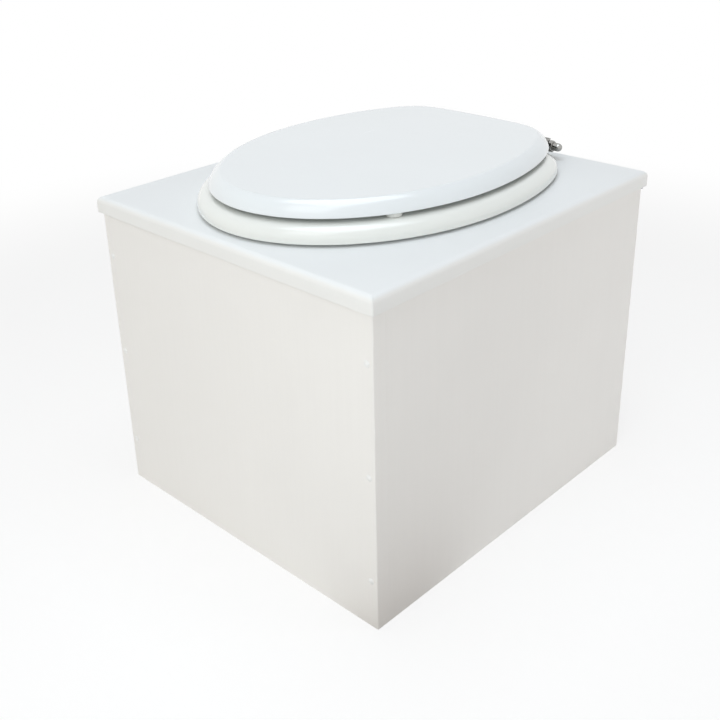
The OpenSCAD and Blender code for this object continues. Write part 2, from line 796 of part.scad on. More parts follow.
// The bail is drawn level, reaching to -Y from its pivots; at_bail() turns it to hang behind the bucket
module at_bail() {
    translate([0, bucket_y, bail_z]) mirror([0, 1, 0]) rotate([bail_hang, 0, 0]) children();
}

// A quarter turn of the bail's wire, about a point and from a starting angle
module wire_bend(r, about, from) {
    translate(about) rotate([0, 0, from]) rotate_extrude(angle = 90) translate([r, 0]) circle(r = wire_r);
}

module bucket_bail() {
    color(steel) at_bail() {
        for (side = [-1, 1]) {
            turn = bail_half_w - bail_bend_r;
            bar_x(wire_r, side > 0 ? pin_start : -turn, side > 0 ? turn : -pin_start, 0, 0);
            wire_bend(bail_bend_r, [side * turn, -bail_bend_r], side > 0 ? 0 : 90);
            translate([side * bail_half_w, -bail_bend_r, 0]) rotate([90, 0, 0])
                cylinder(r = wire_r, h = bail_arm_l - bail_bend_r);
            wire_bend(bail_arc_r, [side * bail_straight, -bail_arm_l], side > 0 ? -90 : -180);
        }
        bar_x(wire_r, -bail_straight, bail_straight, -bail_reach, 0);
    }
}

module bail_grip() {
    color(grip_black) at_bail() difference() {
        bar_x(grip_r, -grip_l / 2, grip_l / 2, -bail_reach, 0);
        bar_x(wire_r + running_fit, -grip_l, grip_l, -bail_reach, 0);
    }
}

front_panel();
back_panel();
side_panel(-1);  // left_side_panel
side_panel(1);  // right_side_panel
base_panel();
base_cleat(-1);  // left_base_cleat
base_cleat(1);  // right_base_cleat
front_panel_screws();
back_panel_screws();
cleat_screws();
base_screws();
back_hinge_fixed_leaf();
back_hinge_pin();
back_hinge_lower_screws();
top_board();
back_hinge_moving_leaf();
back_hinge_upper_screws();
splash_guard();
splash_guard_screws();
hinge_post(-1);  // left_hinge_post
hinge_post(1);  // right_hinge_post
post_gaskets();
post_studs();
stud_washers();
stud_nuts();
seat_hinge_rod();
hinge_cap_nuts();
seat_ring();
ring_bumpers();
ring_hinge(-1);  // left_ring_hinge
ring_hinge(1);  // right_ring_hinge
ring_hinge_screws();
seat_lid();
lid_bumpers();
lid_hinge(-1);  // left_lid_hinge
lid_hinge(1);  // right_lid_hinge
lid_hinge_screws();
bucket();
bucket_bail();
bail_grip();
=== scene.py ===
import json
import math

import bmesh
import bpy
import numpy as np
from bpy.props import FloatProperty, FloatVectorProperty, IntProperty, PointerProperty
from mathutils import Matrix, Vector


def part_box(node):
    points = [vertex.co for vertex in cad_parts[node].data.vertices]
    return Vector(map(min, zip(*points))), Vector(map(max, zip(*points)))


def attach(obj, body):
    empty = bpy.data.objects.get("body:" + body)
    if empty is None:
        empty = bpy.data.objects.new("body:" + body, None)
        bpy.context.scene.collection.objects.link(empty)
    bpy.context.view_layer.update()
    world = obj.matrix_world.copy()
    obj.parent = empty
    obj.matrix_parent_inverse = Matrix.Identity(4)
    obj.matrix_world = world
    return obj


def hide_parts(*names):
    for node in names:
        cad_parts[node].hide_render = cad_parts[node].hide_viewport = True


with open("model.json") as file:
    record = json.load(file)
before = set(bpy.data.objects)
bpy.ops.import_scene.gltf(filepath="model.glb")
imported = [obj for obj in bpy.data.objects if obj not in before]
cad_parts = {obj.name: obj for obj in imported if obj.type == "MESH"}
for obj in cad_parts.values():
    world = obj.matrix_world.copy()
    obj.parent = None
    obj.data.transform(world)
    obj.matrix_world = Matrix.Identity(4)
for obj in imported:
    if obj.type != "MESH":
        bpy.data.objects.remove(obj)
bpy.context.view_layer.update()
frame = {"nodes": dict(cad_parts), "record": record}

bl_info = {
    "name": "Composting toilet",
    "version": (1, 0, 0),
    "blender": (4, 5, 0),
    "location": "3D View > Sidebar > Composting toilet",
    "description": "Dresses the box, seat, hinges and bucket of a composting toilet",
    "category": "Object",
}

MM = 0.001
BODY_OF = {n: body for body, nodes in frame["record"]["behaviour"]["bodies"].items() for n in nodes}
RIGHT_ANGLE = math.pi / 2
FLANGE = 12 * MM      # width of the splash guard's flange
EAR_DROP = 22 * MM    # from the bucket's rim down to the pivots of its bail
ROW_STEPS = 96        # points round the nuts and the domed caps


# -------- sizes and colours

def length(name, description, default, low=0.0, high=1.0):
    """A length in metres that a user may change."""
    return FloatProperty(name=name, description=description, default=default, min=low, max=high,
                         precision=4, subtype="DISTANCE", unit="LENGTH")


def share(name, description, default, high=1.0):
    """A plain number from nothing to its highest value."""
    return FloatProperty(name=name, description=description, default=default, min=0.0, max=high)


def colour(name, description, default):
    """A colour in linear light."""
    return FloatVectorProperty(name=name, description=description, default=default, size=3,
                               min=0.0, max=1.0, subtype="COLOR")


class BoxSettings(bpy.types.PropertyGroup):
    """Sizes and colours of the box and its top board."""
    # The panels and the board bear the same white paint; the panels' warmer and the board's cooler
    # colour are partly painted light: warm light on upright faces, cool light from above.
    panel_colour: colour("Panel colour", "White paint of the four panels", (0.865, 0.843, 0.812))
    board_colour: colour("Board colour", "White paint of the top board", (0.848, 0.868, 0.876))
    board_round: length("Board rounding", "Radius along the board's top edges", 8 * MM)
    board_corner: length("Board corner", "Radius of the board's corners from above", 2 * MM)
    panel_round: length("Panel rounding", "Radius of the outer upright edges", 1.5 * MM)
    soft_edge: length("Soft edge", "Radius that sanding leaves on a cut edge", 0.15 * MM)
    grain: share("Grain", "How strongly the grain shows through the paint", 0.25)


class SeatSettings(bpy.types.PropertyGroup):
    """Sizes and colours of the seat ring and the lid."""
    ring_colour: colour("Ring colour", "Lacquer of the ring", (0.81, 0.825, 0.79))
    lid_colour: colour("Lid colour", "Lacquer of the lid", (0.80, 0.835, 0.85))
    widest: length("Widest place", "How far the seat's widest place lies behind the middle", 8 * MM)
    ring_back: length("Ring back", "From the ring's widest place to its back edge", 197 * MM)
    lid_back: length("Lid back", "From the lid's widest place to its back edge", 214 * MM)
    ring_taper: length("Ring taper", "Half-length of the oval behind the widest place", 276 * MM)
    lid_taper: length("Lid taper", "Half-length of the oval behind the widest place", 262 * MM)
    ring_softness: share("Ring corners", "Power that rounds the ring's back corners", 12, 40)
    lid_softness: share("Lid corners", "Power that rounds the lid's back corners", 15, 40)
    lid_slope: length("Lid slope", "Width of the slope from the lid's edge to its top", 14.5 * MM)
    lid_rise: share("Slope start", "Angle that the slope's arc starts at, in degrees", 24, 45)
    lid_fold: share("Slope end", "Angle that the slope's arc ends at, in degrees", 68, 90)
    steps: IntProperty(name="Outline steps", description="Points round each outline", default=288,
                       min=48, max=720)
    gloss: share("Coat roughness", "Roughness of the clear coat", 0.04)


class HardwareSettings(bpy.types.PropertyGroup):
    """Colours of the metal and rubber pieces."""
    chrome_colour: colour("Chrome colour", "Reflection of the chromed pieces", (0.42, 0.415, 0.40))
    steel_colour: colour("Steel colour", "Reflection of the plain steel pieces", (0.52, 0.53, 0.54))
    screw_colour: colour("Screw colour", "White of the screws in the panels", (0.86, 0.855, 0.84))
    rubber_colour: colour("Rubber colour", "White of the bumpers", (0.72, 0.73, 0.70))
    edge: length("Metal edge", "Radius left on the edges of metal pieces", 0.35 * MM)


class BucketSettings(bpy.types.PropertyGroup):
    """Sizes and colours of the bucket and its bail."""
    bucket_colour: colour("Bucket colour", "Moulded plastic of the bucket", (0.075, 0.085, 0.095))
    grip_colour: colour("Grip colour", "Moulded plastic of the grip", (0.012, 0.012, 0.014))
    wire: length("Wire radius", "Radius of the bail's wire", 2 * MM)
    ribs: IntProperty(name="Grip ridges", description="Ridges along the grip", default=9, min=3,
                      max=15)


class StageSettings(bpy.types.PropertyGroup):
    """Floor, lamps and surroundings."""
    floor_radius: length("Floor radius", "Radius of the pale floor", 14.0, 1.0, 40.0)
    floor_colour: colour("Floor colour", "Plain pale floor", (0.90, 0.90, 0.895))
    shadow: share("Shadow", "How much of the floor's shading the camera sees nearby", 0.30)
    # Painted shade: colour of a floor patch by the near corner that only bounced light sees, to
    # shade the panels' bottom corner.
    dull: colour("Dull floor", "Floor by the near corner, for bounced light", (0.30, 0.26, 0.23))
    clear: length("Clear floor", "How far from the middle the floor is plain white", 1.6, 0.5, 10.0)
    top: share("Top lamp", "Power of the large lamp above, in watts", 16.0, 500)
    lip: share("Lip lamp", "Power of the lamp that shines on the lid's slope, in watts", 4.5, 500)
    front: share("Front lamp", "Power of the lamp in front of the box, in watts", 6.7, 500)
    side: share("Side lamp", "Power of the lamp behind on the right, in watts", 6.1, 500)
    fill: share("Fill lamp", "Power of the far lamp on the left, in watts", 1.4, 500)
    ambient: share("Ambient", "Strength of the surroundings", 0.31, 4)
    ambient_front: share("Front ambient", "Strength of the surroundings straight in front", 0.74, 4)


class ToiletSettings(bpy.types.PropertyGroup):
    """All the settings of the composting toilet."""
    box: PointerProperty(type=BoxSettings)
    seat: PointerProperty(type=SeatSettings)
    hardware: PointerProperty(type=HardwareSettings)
    bucket: PointerProperty(type=BucketSettings)
    stage: PointerProperty(type=StageSettings)


# -------- shader maths

class Value:
    """A node's output socket. Sums and products of these add Math nodes."""

    def __init__(self, finish, socket):
        self.finish, self.socket = finish, socket

    def _math(self, operation, *terms):
        return self.finish.add("Math", {"operation": operation}, dict(enumerate(terms)))

    def __add__(self, other):
        return self._math("ADD", self, other)

    def __radd__(self, other):
        return self._math("ADD", other, self)

    def __rsub__(self, other):
        return self._math("SUBTRACT", other, self)

    def __mul__(self, other):
        return self._math("MULTIPLY", self, other)

    def __rmul__(self, other):
        return self._math("MULTIPLY", other, self)

    def __pow__(self, other):
        return self._math("POWER", self, other)

    def sine(self):
        return self._math("SINE", self)

    def size(self):
        return self._math("ABSOLUTE", self)

    def negative(self):
        """The size of a number below nothing, and nothing for the others."""
        return self._math("MAXIMUM", 0 - self, 0)

    def step(self, low, high):
        """A soft step from 0 at low to 1 at high."""
        return self.finish.add("MapRange", {"interpolation_type": "SMOOTHSTEP"},
                               {"Value": self, "From Min": low, "From Max": high})


class Finish:
    """The nodes of one procedural material in object space, or of the surroundings."""

    def __init__(self, name, world=False):
        self.owner = (bpy.data.worlds if world else bpy.data.materials).new(name)
        self.kind = "OutputWorld" if world else "OutputMaterial"
        self.owner.use_nodes = True
        self.tree = self.owner.node_tree
        self.tree.nodes.clear()
        self.place = self.add("TexCoord", out="Generated" if world else "Object")

    def add(self, kind, settings=None, sockets=None, out=0):
        """Adds a node: first its settings, then the values or links of its sockets."""
        node = self.tree.nodes.new("ShaderNode" + kind)
        for name, value in (settings or {}).items():
            setattr(node, name, value)
        for key, value in (sockets or {}).items():
            if isinstance(value, Value):
                self.tree.links.new(value.socket, node.inputs[key])
            else:
                node.inputs[key].default_value = value
        return Value(self, node.outputs[out]) if node.outputs else None

    def noise(self, scale, stretch=(1, 1, 1), detail=2.0, roughness=0.5, shift=(0, 0, 0)):
        """Noise from 0 to 1 whose grain is stretched along the axes with small numbers."""
        where = self.add("Mapping", {}, {"Vector": self.place, "Location": shift, "Scale": stretch})
        return self.add("TexNoise", {}, {"Vector": where, "Scale": scale, "Detail": detail,
                                         "Roughness": roughness})

    def axis(self, k):
        """One coordinate, 0 for x to 2 for z, of the place on the piece or of the direction."""
        return self.add("SeparateXYZ", {}, {"Vector": self.place}, k)

    def mix(self, factor, first, second):
        """A colour between two colours."""
        pair = [c if isinstance(c, Value) else (*c, 1.0) for c in (first, second)]
        return self.add("Mix", {"data_type": "RGBA"}, {0: factor, 6: pair[0], 7: pair[1]}, 2)

    def bump(self, height, depth):
        """A surface relief of the given depth in metres."""
        return self.add("Bump", {}, {"Height": height, "Distance": depth, "Strength": 1.0})

    def close(self, base, roughness, normal, **constants):
        """Ends the material in a Principled shader; the constants are set on its own sockets."""
        sockets = {"Base Color": base, "Roughness": roughness, "Normal": normal}
        sockets.update({k.replace("_", " ").title(): v for k, v in constants.items()})
        return self.end(self.add("BsdfPrincipled", {}, sockets))

    def end(self, shader):
        """Links a shader to the output and gives the material or the surroundings."""
        self.add(self.kind, {}, {"Surface": shader})
        return self.owner


def tinted(base, factor):
    """A colour scaled in brightness, for the darker and lighter places of a finish."""
    return tuple(min(1.0, c * factor) for c in base)


def painted_board(name, base, grain, rough, top=None):
    """Sprayed white paint on a board whose fine upright grain still shows.

    Below the height given as top, on the board's upright edge and underside, the colour is made
    a little warmer: painted warm light, like the warm light on the upright panels.
    """
    f = Finish(name)
    streaks = f.noise(300, (1, 1, 0.018), 4.0, 0.65)
    pores = f.noise(1500, (1, 1, 0.06), 1.0, 0.5, (3, 1, 2))
    cloud = f.noise(5.5, (1, 1, 1), 2.0, 0.55, (7, 2, 5))
    peel = f.noise(420, (1, 1, 1), 1.0, 0.4)
    scuff = f.noise(26, (1, 1, 5), 4.0, 0.72, (1, 9, 4)).step(0.70, 0.78)
    shade = f.mix(cloud, tinted(base, 0.965), tinted(base, 1.02))
    shade = f.mix(streaks.step(0.36, 0.66) * (0.35 * grain), shade, tinted(base, 0.90))
    shade = f.mix(pores.step(0.62, 0.80) * (0.25 * grain), shade, tinted(base, 0.88))
    shade = f.mix(scuff * 0.10, shade, tinted(base, 0.82))
    # Painted light: below top the colour is tinted warmer, for warm light on the upright edge.
    if top is not None:
        height = f.axis(2)
        painted_warm_light = f.add("Mix", {"data_type": "RGBA", "blend_type": "MULTIPLY"},
                       {0: 1.0, 6: shade, 7: (1.0, 0.97, 0.935, 1.0)}, 2)
        shade = f.mix(1 - height.step(top - 5 * MM, top - 0.3 * MM), shade, painted_warm_light)
    relief = streaks * (0.55 * grain) + pores * (0.25 * grain) + peel * 0.20
    normal = f.bump(relief, 0.09 * MM)
    return f.close(shade, rough + cloud * 0.06 + streaks * 0.06 + scuff * 0.10, normal)


def lacquer(name, base, coat_roughness):
    """Thick glossy lacquer with a faint orange peel, dull smears and a few hairlines."""
    f = Finish(name)
    peel = f.noise(160, (1, 1, 1), 2.0, 0.5)
    swell = f.noise(14, (1, 1, 1), 1.0, 0.4, (2, 4, 1))
    cloud = f.noise(8, (1, 1, 1), 2.0, 0.5, (5, 5, 2))
    hair = f.noise(260, (1, 0.02, 1), 2.0, 0.8, (1, 3, 8)).step(0.66, 0.86)
    smear = f.noise(34, (1, 1.6, 1), 3.0, 0.6, (9, 1, 1)).step(0.55, 0.80)
    shade = f.mix(cloud, tinted(base, 0.975), tinted(base, 1.015))
    shade = f.mix(smear * 0.10, shade, tinted(base, 0.95))
    normal = f.bump(peel * 0.5 + swell * 0.9, 0.05 * MM)
    return f.close(shade, 0.22 + smear * 0.05 + hair * 0.08, normal, coat_weight=0.8,
                   coat_roughness=coat_roughness)


def metal(name, base, rough, brushed, grazing):
    """Chrome or steel; brushed gives the length of its fine scratches.

    A grazing value below 1 keeps a slanting view of the metal from turning white.
    """
    f = Finish(name)
    lines = f.noise(900, brushed, 2.0, 0.7)
    cloud = f.noise(60, (1, 1, 1), 2.0, 0.6, (4, 4, 4))
    spots = f.noise(700, (1, 1, 1), 1.0, 0.5, (8, 3, 3)).step(0.74, 0.80)
    shade = f.mix(cloud.step(0.3, 0.7) * 0.5, base, tinted(base, 0.84))
    shade = f.mix(spots * 0.5, shade, tinted(base, 0.55))
    normal = f.bump(lines, 0.004 * MM)
    return f.close(shade, rough + lines * (0.8 * rough) + spots * 0.2, normal, metallic=1.0,
                   specular_tint=(grazing, grazing, grazing, 1.0))


def rubber(name, base):
    """Matt white rubber with a dusty bloom."""
    f = Finish(name)
    grit = f.noise(1400, (1, 1, 1), 2.0, 0.6)
    bloom = f.noise(180, (1, 1, 1), 3.0, 0.6, (2, 2, 7))
    shade = f.mix(bloom.step(0.35, 0.75), base, tinted(base, 0.90))
    return f.close(shade, 0.55 + bloom * 0.2, f.bump(grit + bloom, 0.03 * MM))


def moulded(name, base, rough, grit_depth):
    """Moulded plastic with a fine spark-eroded texture, flow marks and light scratches."""
    f = Finish(name)
    grit = f.noise(1100, (1, 1, 1), 2.0, 0.6)
    flow = f.noise(16, (1, 1, 0.2), 2.0, 0.5, (3, 3, 3))
    scratch = f.noise(120, (1, 1, 0.04), 3.0, 0.8, (6, 1, 1)).step(0.68, 0.74)
    shade = f.mix(flow, tinted(base, 0.85), tinted(base, 1.2))
    shade = f.mix(scratch * 0.35, shade, tinted(base, 1.9))
    normal = f.bump(grit + scratch * 0.3, grit_depth)
    return f.close(shade, rough + flow * 0.1 + scratch * 0.12, normal)


def pine(name, light, dark):
    """Planed pine: growth rings cut along the length, with fine dark fibres."""
    f = Finish(name)
    warp = f.noise(9, (1, 0.18, 1), 2.0, 0.5)
    rings = f.add("TexWave", {"wave_type": "RINGS", "rings_direction": "Y"},
                  {"Vector": f.add("Mapping", {}, {"Vector": f.place, "Location": (0.02, 0, 0.06),
                                                   "Scale": (1, 0.05, 1)}),
                   "Scale": 62.0, "Distortion": 5.0, "Detail": 2.0, "Detail Scale": 1.5}, 1)
    fibre = f.noise(1300, (1, 0.012, 1), 2.0, 0.6)
    shade = f.mix((rings * 0.75 + warp * 0.25).step(0.35, 0.9), light, dark)
    shade = f.mix(fibre.step(0.5, 0.8) * 0.35, shade, tinted(dark, 0.8))
    return f.close(shade, 0.55 + fibre * 0.15, f.bump(fibre + rings * 0.3, 0.08 * MM))


def plywood(name, light, dark):
    """Birch plywood: a calm face figure, and dark and light plies on its edges."""
    f = Finish(name)
    figure = f.noise(16, (0.12, 1, 1), 3.0, 0.6)
    fibre = f.noise(1100, (0.015, 1, 1), 2.0, 0.6, (3, 1, 1))
    plies = (f.axis(2) * (math.pi * 2 / (3.4 * MM))).sine()
    facing = f.add("SeparateXYZ", {}, {"Vector": f.add("NewGeometry", out="Normal")}, 2)
    edge = 1 - facing.size().step(0.4, 0.6)
    shade = f.mix(figure.step(0.3, 0.75), light, dark)
    shade = f.mix(fibre.step(0.55, 0.8) * 0.3, shade, tinted(dark, 0.75))
    shade = f.mix(edge * plies.step(-0.2, 0.2) * 0.7, shade, tinted(dark, 0.6))
    return f.close(shade, 0.5 + fibre * 0.15, f.bump(fibre, 0.06 * MM))


def finish(kind):
    """A procedural material, made when it is first asked for. Its name differs from the CAD's."""
    name = kind + "_finish"
    found = bpy.data.materials.get(name)
    if found:
        return found
    look = bpy.context.scene.toilet
    box, seat, ware, bucket = look.box, look.seat, look.hardware, look.bucket
    maker, base, *rest = {
        "white_panel": (painted_board, box.panel_colour, box.grain, 0.40),
        # Below the board's top height its colour gets painted warm light.
        "white_board": (painted_board, box.board_colour, 0.4 * box.grain, 0.34,
                        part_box("top_board")[1].z),
        "white_screw": (painted_board, ware.screw_colour, 0.1, 0.30),
        "ring_lacquer": (lacquer, seat.ring_colour, seat.gloss),
        "lid_lacquer": (lacquer, seat.lid_colour, seat.gloss),
        "chrome": (metal, ware.chrome_colour, 0.05, (1, 0.05, 1), 0.5),
        "steel": (metal, ware.steel_colour, 0.26, (0.03, 1, 1), 0.7),
        "white_rubber": (rubber, ware.rubber_colour),
        "bucket_plastic": (moulded, bucket.bucket_colour, 0.38, 0.05 * MM),
        "grip_plastic": (moulded, bucket.grip_colour, 0.48, 0.08 * MM),
        "plywood": (plywood, (0.58, 0.42, 0.25), (0.47, 0.31, 0.16)),
        "pine": (pine, (0.62, 0.44, 0.24), (0.42, 0.24, 0.10)),
    }[kind]
    return maker(name, tuple(base), *rest)


# -------- outlines and profiles

def arc(steps, start=0.0, end=RIGHT_ANGLE):
    """Angles from start to end."""
    return np.linspace(start, end, steps + 1)


def around(steps):
    """Angles once round a circle."""
    return np.arange(steps) * 2 * math.pi / steps


def outward(outline):
    """Outward directions at the points of a closed outline that runs anticlockwise."""
    along = np.roll(outline, -1, 0) - np.roll(outline, 1, 0)
    return np.stack([along[:, 1], -along[:, 0]], 1) / np.linalg.norm(along, axis=1)[:, None]


def grown(outline, by):
    """A closed outline moved outwards, or inwards where by is negative."""
    return outline + outward(outline) * by


def lifted(outline, z):
    """An outline at height z."""
    return np.column_stack([outline, np.full(len(outline), z)])


def eased_rows(outline_at, edge, height, z, steps):
    """Rows that round an edge: outline_at steps in by edge while they rise by height to z."""
    return [lifted(outline_at(edge * (1 - math.cos(a))), z - height * (1 - math.sin(a)))
            for a in arc(steps)]


def rounded_rows(outline, edge, height, z, upwards, steps):
    """The same for an outline that is moved inwards by edge, in rising or falling order."""
    rows = eased_rows(lambda by: grown(outline, -by), edge, height, z, steps)
    return rows if upwards else rows[::-1]


def soft_rectangle(low, high, corner, side_steps=20, corner_steps=6):
    """A rectangle with round corners, anticlockwise from its right side."""
    (x0, y0), (x1, y1) = low, high
    points = []
    for k, (cx, cy) in enumerate(((x1, y1), (x0, y1), (x0, y0), (x1, y0))):
        centre = np.array((cx - corner * np.sign(cx - (x0 + x1) / 2),
                           cy - corner * np.sign(cy - (y0 + y1) / 2)))
        turn = arc(corner_steps, k * RIGHT_ANGLE, (k + 1) * RIGHT_ANGLE)
        points.append(centre + corner * np.column_stack([np.cos(turn), np.sin(turn)]))
    rounded = []
    for k, part in enumerate(points):
        rounded.append(part)
        after = points[(k + 1) % 4][0]
        share_along = np.arange(1, side_steps)[:, None] / side_steps
        rounded.append(part[-1] + (after - part[-1]) * share_along)
    return np.vstack(rounded)


def oval(side, front, taper, back, softness, steps, centre_y=0.0):
    """A seat outline: an ellipse in front, a longer one behind, and a straight back edge."""
    a = around(steps)
    along = np.where(np.sin(a) < 0, front, taper)
    curve = np.sqrt((np.cos(a) / side) ** 2 + (np.sin(a) / along) ** 2)
    line = np.maximum(np.sin(a), 0) / back
    reach = (curve ** softness + line ** softness) ** (-1 / softness)
    return np.column_stack([reach * np.cos(a), reach * np.sin(a) + centre_y])


def stadium(half_width, half_length, centre_y, angles):
    """The long round-ended hole of the board, at the given angles about its centre."""
    c, s = np.abs(np.cos(angles)), np.abs(np.sin(angles))
    straight = half_length - half_width
    side = half_width / np.maximum(c, 1e-9)
    end = straight * s + np.sqrt(np.maximum(half_width ** 2 - (straight * c) ** 2, 0))
    reach = np.where(side * s <= straight, side, end)
    return np.column_stack([reach * np.cos(angles), reach * np.sin(angles) + centre_y])


def fillet(corners, steps=4):
    """A profile whose corners, given as (across, up, radius), are rounded."""
    rounded = []
    for i, (x, y, r) in enumerate(corners):
        here = np.array((x, y), float)
        if r == 0 or i in (0, len(corners) - 1):
            rounded.append(here)
            continue
        before, after = (np.array(corners[j][:2], float) - here for j in (i - 1, i + 1))
        reach = 0.49 * min(np.linalg.norm(before), np.linalg.norm(after))
        before, after = before / np.linalg.norm(before), after / np.linalg.norm(after)
        half = math.acos(np.clip(before @ after, -1, 1)) / 2
        turn = math.pi - 2 * half
        if turn < 0.02:
            rounded.append(here)
            continue
        reach = min(reach, r / math.tan(half))
        middle = here + (before + after) / np.linalg.norm(before + after) * reach / math.cos(half)
        start, end = here + before * reach - middle, here + after * reach - middle
        for t in np.linspace(0, 1, steps + 1):
            rounded.append(middle + (math.sin((1 - t) * turn) * start + math.sin(t * turn) * end)
                           / math.sin(turn))
    return rounded


# -------- shapes

class Shape:
    """Points and faces of one piece, gathered from lofted, turned and swept forms."""

    def __init__(self):
        self.points, self.faces = [], []

    def add(self, points, faces, place=None):
        """Adds points and faces, moved by a matrix."""
        first = len(self.points)
        move = place or Matrix()
        self.points += [tuple(move @ Vector(p)) for p in points]
        self.faces += [tuple(first + i for i in f) for f in faces]
        return self

    def loft(self, rows, closed=False, place=None):
        """A skin over rows of points; closed joins the last row to the first."""
        n, count = len(rows[0]), len(rows)
        faces = []
        for j in range(count if closed else count - 1):
            a, b = j * n, (j + 1) % count * n
            faces += [(a + i, a + (i + 1) % n, b + (i + 1) % n, b + i) for i in range(n)]
        if not closed:
            faces.append(tuple(reversed(range(n))))
            faces.append(tuple(range((count - 1) * n, count * n)))
        return self.add([p for row in rows for p in row], faces, place)

    def turn(self, profile, place, steps=48, closed=False):
        """A form turned about +Z from (radius, height) pairs; a radius of 0 closes its end."""
        points, rows, faces = [], [], []
        a = around(steps)
        for r, z in profile:
            if r < 1e-9:
                rows.append([len(points)] * steps)
                points.append((0, 0, z))
            else:
                rows.append(list(range(len(points), len(points) + steps)))
                points += [(r * math.cos(t), r * math.sin(t), z) for t in a]
        pairs = list(zip(rows, rows[1:])) + ([(rows[-1], rows[0])] if closed else [])
        for low, high in pairs:
            for i in range(steps):
                k = (i + 1) % steps
                ring = [low[i], low[k], high[k], high[i]]
                faces.append(tuple(dict.fromkeys(ring)))
        return self.add(points, faces, place)

    def prism(self, outline, low, high, soft):
        """An upright prism whose top and bottom edges are softened."""
        turn = ((soft, 0), (soft * 0.3, soft * 0.3), (0, soft))
        rows = [lifted(grown(outline, -inset), low + up) for inset, up in turn]
        rows += [lifted(grown(outline, -inset), high - up) for inset, up in reversed(turn)]
        return self.loft(rows)

    def sweep(self, path, radius, sides=20):
        """A round wire along a path of points, closed at its ends."""
        path = [Vector(p) for p in path]
        rows, side = [], Vector((0, 0, 1))
        for i, p in enumerate(path):
            along = (path[min(i + 1, len(path) - 1)] - path[max(i - 1, 0)]).normalized()
            side = (side - along * side.dot(along)).normalized()
            other = along.cross(side)
            rows.append([p + (side * math.cos(t) + other * math.sin(t)) * radius
                         for t in around(sides)])
        return self.loft(rows)

    def mesh(self, name, crease=35):
        """The shape as a mesh that is smooth but for its sharp edges."""
        made = bmesh.new()
        for p in self.points:
            made.verts.new(p)
        made.verts.ensure_lookup_table()
        for f in self.faces:
            made.faces.new([made.verts[i] for i in f])
        return smooth_mesh(made, name, crease)

    def piece(self, name, node, slot, finish_name=None, crease=35):
        """Makes the shape a piece that stands for a CAD node, by default in the slot's finish."""
        made = bpy.data.objects.new(name, self.mesh(name, crease))
        return stand_in(made, finish_name or slot, slot, node)


def smoothed(mesh, crease=35):
    """Gives a mesh smooth faces and sharp creases."""
    mesh.polygons.foreach_set("use_smooth", [True] * len(mesh.polygons))
    mesh.set_sharp_from_angle(angle=math.radians(crease))
    return mesh


def smooth_mesh(made, name, crease=35):
    """Ends a bmesh as a smooth mesh."""
    bmesh.ops.recalc_face_normals(made, faces=made.faces)
    mesh = bpy.data.meshes.new(name)
    made.to_mesh(mesh)
    made.free()
    return smoothed(mesh, crease)


def flat_shading(piece):
    """Keeps the shading of the wide faces flat beside their narrow bevels."""
    modifier = piece.modifiers.new("normals", "WEIGHTED_NORMAL")
    modifier.keep_sharp, modifier.mode, modifier.weight = True, "FACE_AREA", 60


def stand_in(piece, finish_name, slot, *nodes):
    """Links a piece, gives it its finish and lets it stand for CAD nodes on their body."""
    bpy.context.scene.collection.objects.link(piece)
    flat_shading(piece)
    piece.data.materials.append(finish(finish_name))
    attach(piece, BODY_OF[nodes[0]])
    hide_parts(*nodes)
    return piece


def cad_mesh(node):
    """The mesh of a CAD node with its points welded."""
    made = bmesh.new()
    made.from_mesh(frame["nodes"][node].data)
    bmesh.ops.remove_doubles(made, verts=made.verts, dist=0.001 * MM)
    return made


def softened(node, ending, slot, edge):
    """A copy of a CAD node whose edges are softened, as a piece that stands for it."""
    made, sharp = cad_mesh(node), math.radians(28)
    bmesh.ops.dissolve_limit(made, angle_limit=math.radians(0.5), verts=made.verts,
                             edges=made.edges)
    edges = [e for e in made.edges
             if len(e.link_faces) == 2 and e.calc_face_angle() > sharp]
    bmesh.ops.bevel(made, geom=edges, offset=edge, segments=2, profile=0.6, affect="EDGES",
                    clamp_overlap=True)
    piece = bpy.data.objects.new(node + ending, smooth_mesh(made, node + ending))
    return stand_in(piece, slot, slot, node)


def solid_centres(node):
    """The centres, seen from above, of the separate solids of a CAD node."""
    made = cad_mesh(node)
    left, centres = set(made.verts), []
    while left:
        group, wave = set(), [next(iter(left))]
        while wave:
            vertex = wave.pop()
            if vertex not in group:
                group.add(vertex)
                wave += [e.other_vert(vertex) for e in vertex.link_edges]
        left -= group
        spots = np.array([v.co for v in group])
        centres.append(tuple((spots.min(0) + spots.max(0))[:2] / 2))
    made.free()
    return sorted(centres)


def joined(piece, other):
    """Joins a piece with another shape, and keeps the result as its mesh."""
    bpy.context.scene.collection.objects.link(other)
    modifier = piece.modifiers.new("join", "BOOLEAN")
    modifier.object, modifier.operation, modifier.solver = other, "UNION", "EXACT"
    bpy.context.view_layer.update()
    result = piece.evaluated_get(bpy.context.evaluated_depsgraph_get())
    mesh = bpy.data.meshes.new_from_object(result)
    piece.modifiers.clear()
    flat_shading(piece)
    piece.data = smoothed(mesh)
    bpy.data.objects.remove(other)


# -------- box

def panel_outline(node, facing, radius, soft):
    """A panel's plan with a larger radius on its outer face, which faces -Y or +Y."""
    low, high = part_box(node)
    wide, tight = (soft_rectangle(low.xy, high.xy, r, 8, 6) for r in (radius, soft))
    outer = (wide[:, 1] - (low.y + high.y) / 2) * facing > 0
    return np.where(outer[:, None], wide, tight)


def soft_block(node, soft, ending, slot, outline=None):
    """A block in place of a CAD node, with softened edges; its plan may be given as an outline."""
    low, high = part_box(node)
    if outline is None:
        outline = soft_rectangle(low.xy, high.xy, soft, 8, 3)
    Shape().prism(outline, low.z, high.z, soft).piece(node + ending, node, slot)


